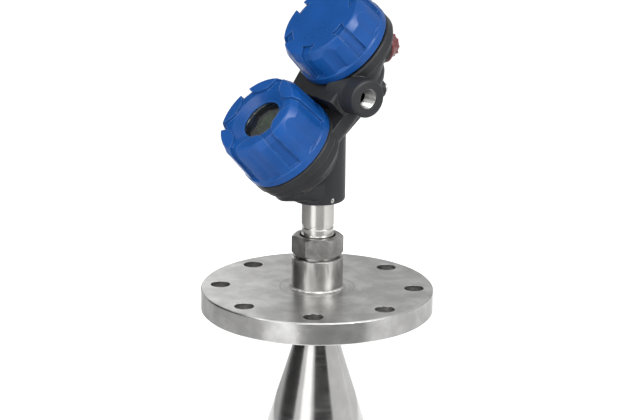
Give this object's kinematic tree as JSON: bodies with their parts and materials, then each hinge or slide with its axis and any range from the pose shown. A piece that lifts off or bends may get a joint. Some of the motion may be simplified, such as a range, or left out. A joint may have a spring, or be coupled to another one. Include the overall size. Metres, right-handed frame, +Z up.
{
  "type": "radar level transmitter",
  "caption": "Radar level transmitter: horn antenna under a process flange, hex union and swivelling metal head with screw-off display and wiring covers.",
  "frame": {"origin": "centre of the flange's raised sealing face, on the antenna's axis", "axes": "+Z up the antenna's axis from the horn to the head; both covers face -Y and up at 45 degrees; the open side conduit entry faces +X"},
  "size_m": [0.2286, 0.2286, 0.4398],
  "materials": {
    "stainless": "turned",
    "weld": "welded",
    "nut_steel": "machined",
    "polished_steel": "polished",
    "ptfe": "satin",
    "rubber": "matte",
    "brass": "machined",
    "casting": "dark grey powder coat",
    "cover_paint": "blue powder coat",
    "screw_steel": "machined",
    "black_plastic": "satin",
    "key_plastic": "satin",
    "circuit_board": "solder mask",
    "display": "gloss",
    "window_glass": "clear",
    "plug_plastic": "moulded"
  },
  "bodies": {
    "antenna": {"flange": "stainless", "horn": "polished_steel", "dielectric_cone": "ptfe", "process_hub": "stainless", "hub_weld": "weld", "neck_adapter": "stainless", "process_seal": "rubber", "neck_seal": "rubber", "waveguide_tube": "brass"},
    "nut_lift": {"slip_ring": "brass"},
    "nut": {"coupling_nut": "nut_steel"},
    "head": {"housing": "casting", "neck_lock_screw": "screw_steel", "cover_lock_screws": "screw_steel", "rf_module": "brass", "ground_screw": "screw_steel", "ground_clamp": "screw_steel", "module_cup": "black_plastic", "power_board": "circuit_board", "processor_board": "circuit_board", "board_spacers": "brass", "display_bezel": "black_plastic", "display_board": "circuit_board", "display_glass": "display", "display_screws": "screw_steel", "terminal_block": "black_plastic", "terminal_clamps": "screw_steel", "terminal_screws": "screw_steel", "block_screws": "screw_steel", "inner_ground_screw": "screw_steel", "feedthrough": "black_plastic"},
    "display_lift": {"display_cover_seal": "rubber"},
    "display_lid": {"display_cover": "cover_paint", "cover_window": "window_glass", "window_gasket": "rubber", "window_retainer": "black_plastic"},
    "wiring_lift": {"wiring_cover_seal": "rubber"},
    "wiring_lid": {"wiring_cover": "cover_paint"},
    "plug_lift": {"plug_seal": "rubber"},
    "plug": {"conduit_plug": "plug_plastic"},
    "back_key": {"key_back": "key_plastic"},
    "down_key": {"key_down": "key_plastic"},
    "up_key": {"key_up": "key_plastic"},
    "enter_key": {"key_enter": "key_plastic"}
  },
  "joints": [
    {"name": "head_swivel", "type": "hinge", "parent": "antenna", "child": "head", "pos_m": [0, 0, 0.113], "axis": [0, 0, 1], "range_deg": [-175, 175]},
    {"name": "nut_travel", "type": "slide", "parent": "antenna", "child": "nut_lift", "axis": [0, 0, 1], "range_m": [0, 0.01]},
    {"name": "nut_turn", "type": "hinge", "parent": "nut_lift", "child": "nut", "pos_m": [0, 0, 0.0677], "axis": [0, 0, 1], "range_deg": [0, 1800]},
    {"name": "display_lid_travel", "type": "slide", "parent": "head", "child": "display_lift", "axis": [0, -0.7071, 0.7071], "range_m": [0, 0.01]},
    {"name": "display_lid_turn", "type": "hinge", "parent": "display_lift", "child": "display_lid", "pos_m": [0, -0.0349, 0.1711], "axis": [0, -0.7071, 0.7071], "range_deg": [0, 1800]},
    {"name": "wiring_lid_travel", "type": "slide", "parent": "head", "child": "wiring_lift", "axis": [0, -0.7071, 0.7071], "range_m": [0, 0.01]},
    {"name": "wiring_lid_turn", "type": "hinge", "parent": "wiring_lift", "child": "wiring_lid", "pos_m": [0, 0.02888, 0.26345], "axis": [0, -0.7071, 0.7071], "range_deg": [0, 1800]},
    {"name": "plug_travel", "type": "slide", "parent": "head", "child": "plug_lift", "axis": [0, 1, 0], "range_m": [0, 0.012]},
    {"name": "plug_turn", "type": "hinge", "parent": "plug_lift", "child": "plug", "pos_m": [0, 0.072, 0.257], "axis": [0, 1, 0], "range_deg": [0, 2880]},
    {"name": "back_press", "type": "slide", "parent": "head", "child": "back_key", "axis": [0, 0.7071, -0.7071], "range_m": [0, 0.0008], "stiffness_N_per_m": 400},
    {"name": "down_press", "type": "slide", "parent": "head", "child": "down_key", "axis": [0, 0.7071, -0.7071], "range_m": [0, 0.0008], "stiffness_N_per_m": 400},
    {"name": "up_press", "type": "slide", "parent": "head", "child": "up_key", "axis": [0, 0.7071, -0.7071], "range_m": [0, 0.0008], "stiffness_N_per_m": 400},
    {"name": "enter_press", "type": "slide", "parent": "head", "child": "enter_key", "axis": [0, 0.7071, -0.7071], "range_m": [0, 0.0008], "stiffness_N_per_m": 400}
  ],
  "couplings": [
    {"joint": "nut_travel", "follows": "nut_turn", "m_per_rad": 0.00031831},
    {"joint": "display_lid_travel", "follows": "display_lid_turn", "m_per_rad": 0.00031831},
    {"joint": "wiring_lid_travel", "follows": "wiring_lid_turn", "m_per_rad": 0.00031831},
    {"joint": "plug_travel", "follows": "plug_turn", "m_per_rad": 0.00023873}
  ]
}
